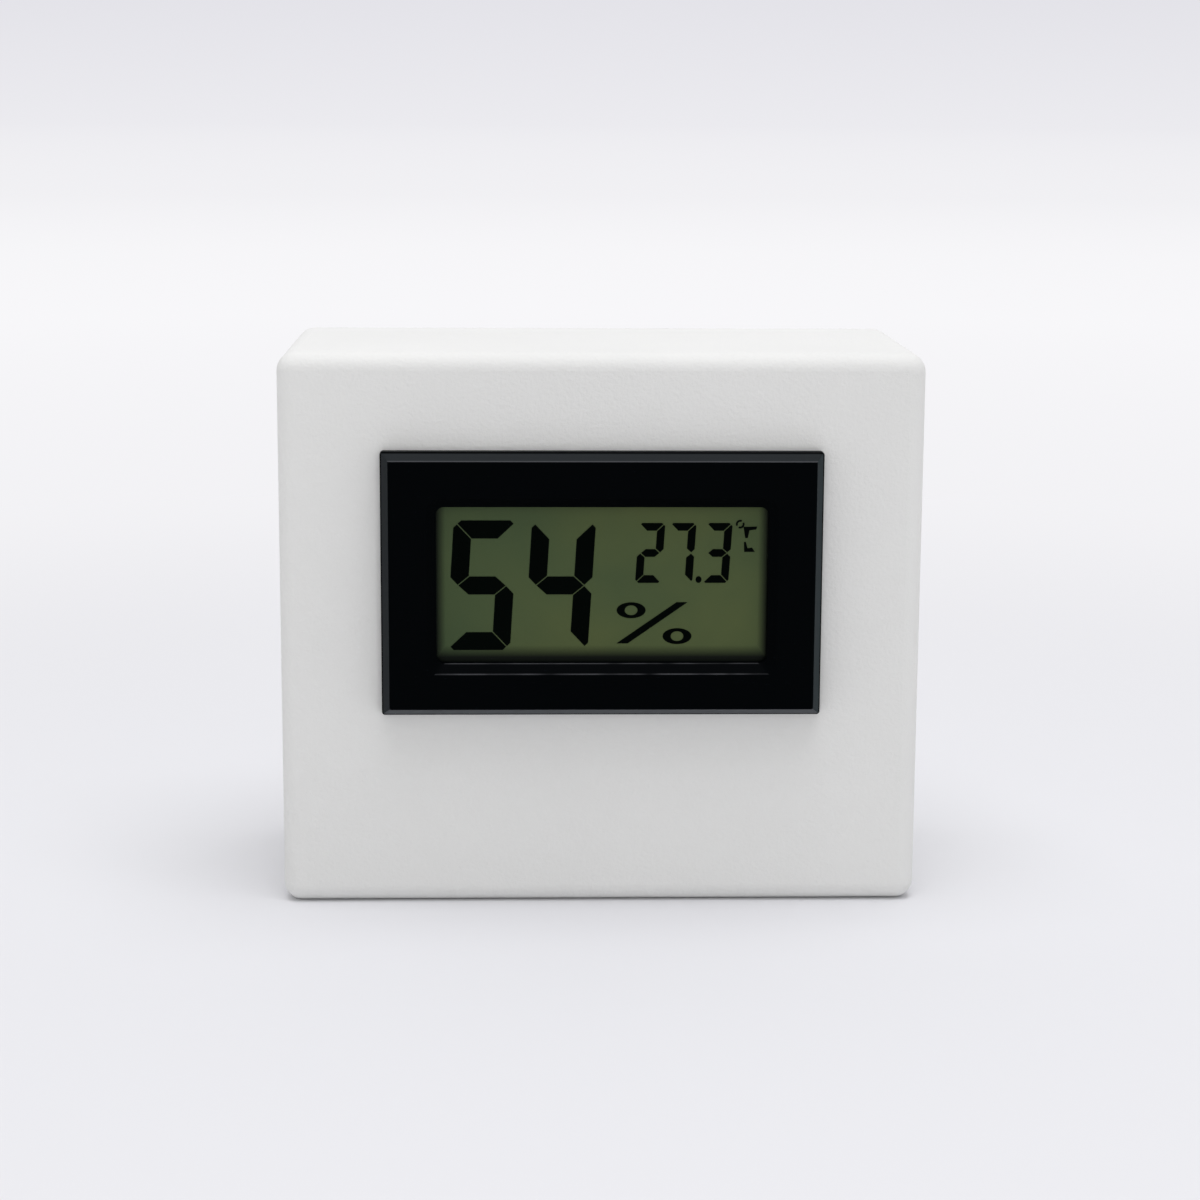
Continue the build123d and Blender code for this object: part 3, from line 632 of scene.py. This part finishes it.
def cell_radius(tree):
    """How far a point lies from the axis of its own button cell."""
    left_low, left_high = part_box("button_cell_left")
    right_low, right_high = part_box("button_cell_right")
    middle = (left_low + right_high) / 2
    spacing = (right_low.x + right_high.x - left_low.x - left_high.x) / 2
    across = past(tree, "X", middle.x, spacing / 2)
    upright = calculated(tree, "SUBTRACT", coordinate(tree, "Z"), middle.z)
    squares = (product(tree, across, across), product(tree, upright, upright))
    return calculated(tree, "SQRT", calculated(tree, "ADD", *squares))


def cell_steel():
    """The button cells' nickel-plated cans, with fine drawn rings round each axis."""
    material, tree, shader = new_material("cell_steel", cell_colour, cell_roughness, metallic=1.0)
    rings = tree.nodes.new("ShaderNodeTexNoise")
    rings.noise_dimensions = "1D"
    rings.inputs["Scale"].default_value = cell_ring_scale
    tree.links.new(cell_radius(tree), rings.inputs["W"])
    darker = tuple(c * cell_ring_shade for c in cell_colour)
    tones = ramp(tree, rings.outputs["Fac"], list(zip(mottle_range, (darker, cell_colour))))
    tree.links.new(tones, shader.inputs["Base Color"])
    bumped(tree, shader, rings.outputs["Fac"], cell_ring_depth, cell_ring_bump)
    return material


def glass():
    """The display's glass."""
    material, tree, shader = new_material("display_glass", glass_colour, glass_roughness)
    shader.inputs["Transmission Weight"].default_value = glass_transmission
    shader.inputs["IOR"].default_value = glass_index
    mottled(tree, shader, glass_colour, *glass_mottle)
    return material


def finishes():
    """The material of each of the record's slots, and of the meter's rear case."""
    special = {
        "housing_plastic": housing_plastic(),
        "bezel_plastic": bezel_plastic(),
        "display_film": display_film(),
        "display_glass": glass(),
        "contact_metal": brushed_metal("contact_metal", contact_colour, contact_roughness),
        "screw_steel": brushed_metal("screw_steel", screw_colour, screw_roughness),
        "cell_steel": cell_steel(),
    }
    plain = {name: plain_finish(name, *values) for name, values in plain_finishes.items()}
    return {**special, **plain}


def dress(materials):
    """Give each node the material of its slot, but the meter's rear case a plainer black."""
    for part in frame["record"]["subparts"]:
        rear_case = part["node"] == "module_rear_case"
        name = "rear_case_plastic" if rear_case else part["material_slot"]
        data = nodes[part["node"]].data
        data.materials.clear()
        data.materials.append(materials[name])


def floor_material():
    """Matt near the box, to keep its shadow, and a glow in the backdrop's tones far away."""
    material = bpy.data.materials.new("studio_floor")
    material.use_nodes = True
    tree = material.node_tree
    tree.nodes.clear()
    output = tree.nodes.new("ShaderNodeOutputMaterial")
    matt = tree.nodes.new("ShaderNodeBsdfDiffuse")
    matt.inputs["Color"].default_value = (*floor_colour, 1)
    far = tree.nodes.new("ShaderNodeEmission")
    place = tree.nodes.new("ShaderNodeTexCoord")
    away = tree.nodes.new("ShaderNodeVectorMath")
    away.operation = "LENGTH"
    tree.links.new(place.outputs["Object"], away.inputs[0])
    fade = tree.nodes.new("ShaderNodeMapRange")
    fade.interpolation_type = "SMOOTHSTEP"
    fade.inputs["From Min"].default_value = floor_fade_start
    fade.inputs["From Max"].default_value = floor_fade_end
    tree.links.new(away.outputs["Value"], fade.inputs["Value"])
    distance = remapped(tree, away.outputs["Value"], 0, floor_radius)
    tree.links.new(ramp(tree, distance, floor_tones), far.inputs["Color"])
    mix = tree.nodes.new("ShaderNodeMixShader")
    tree.links.new(fade.outputs["Result"], mix.inputs["Fac"])
    tree.links.new(matt.outputs["BSDF"], mix.inputs[1])
    tree.links.new(far.outputs["Emission"], mix.inputs[2])
    tree.links.new(mix.outputs["Shader"], output.inputs["Surface"])
    return material


def studio_floor():
    """The pale table top."""
    bpy.ops.mesh.primitive_circle_add(
        vertices=floor_sides, radius=floor_radius, fill_type="NGON", location=(0, 0, 0)
    )
    floor = bpy.context.object
    floor.name = "studio_floor"
    floor.data.materials.append(floor_material())


def studio_world():
    """Even light from all round, and a backdrop that is a little darker higher up."""
    world = bpy.data.worlds.new("studio_world")
    bpy.context.scene.world = world
    world.use_nodes = True
    tree = world.node_tree
    tree.nodes.clear()
    output = tree.nodes.new("ShaderNodeOutputWorld")
    light = tree.nodes.new("ShaderNodeBackground")
    light.inputs["Color"].default_value = (*world_light, 1)
    backdrop = tree.nodes.new("ShaderNodeBackground")
    place = tree.nodes.new("ShaderNodeTexCoord")
    split = tree.nodes.new("ShaderNodeSeparateXYZ")
    tree.links.new(place.outputs["Generated"], split.inputs["Vector"])
    rise = remapped(tree, split.outputs["Z"], *backdrop_rise)
    tones = ramp(tree, rise, [(0.0, horizon_tone), (1.0, sky_tone)])
    tree.links.new(tones, backdrop.inputs["Color"])
    path = tree.nodes.new("ShaderNodeLightPath")
    shown = path.outputs["Is Camera Ray"]
    for ray in ("Is Glossy Ray", "Is Transmission Ray"):
        shown = calculated(tree, "MAXIMUM", shown, path.outputs[ray])
    mix = tree.nodes.new("ShaderNodeMixShader")
    tree.links.new(shown, mix.inputs["Fac"])
    tree.links.new(light.outputs["Background"], mix.inputs[1])
    tree.links.new(backdrop.outputs["Background"], mix.inputs[2])
    tree.links.new(mix.outputs["Shader"], output.inputs["Surface"])


def area_lamp(name, place, aim, size, power):
    """A square soft lamp, with place, aim and size in millimetres."""
    data = bpy.data.lights.new(name, "AREA")
    data.color = lamp_colour
    data.shape = "SQUARE"
    data.size = size * mm
    data.energy = power
    lamp = bpy.data.objects.new(name, data)
    bpy.context.scene.collection.objects.link(lamp)
    lamp.location = Vector(place) * mm
    lamp.rotation_euler = (Vector(aim) - Vector(place)).to_track_quat("-Z", "Y").to_euler()


def studio_lamps():
    """A soft lamp high above and a little in front, to the right, and a weak one in front."""
    area_lamp("overhead_lamp", **overhead_lamp)
    area_lamp("front_lamp", **front_lamp)


def studio_camera():
    """The camera at the photograph's place and angle."""
    pitch, yaw, roll = (math.radians(angle) for angle in (camera_pitch, camera_yaw, camera_roll))
    level_share = math.cos(pitch)
    ahead = Vector((math.sin(yaw) * level_share, math.cos(yaw) * level_share, -math.sin(pitch)))
    level = Vector((math.cos(yaw), -math.sin(yaw), 0))
    upright = level.cross(ahead)
    right = level * math.cos(roll) + upright * math.sin(roll)
    up = right.cross(ahead)
    data = bpy.data.cameras.new("camera")
    data.sensor_width = sensor_width
    data.lens = focal_pixels / image_pixels * sensor_width
    data.clip_start = nearest_shown
    camera = bpy.data.objects.new("camera", data)
    bpy.context.scene.collection.objects.link(camera)
    turn = Matrix((right, up, -ahead)).transposed().to_4x4()
    camera.matrix_world = Matrix.Translation(Vector(camera_place) * mm) @ turn
    bpy.context.scene.camera = camera


bpy.context.scene.view_settings.view_transform = "Standard"
studio_camera()
studio_floor()
studio_world()
studio_lamps()
dress(finishes())
segment = segment_film()
humidity_digits(segment)
temperature_digits(segment)
degree_sign(segment)
percent_sign(segment)
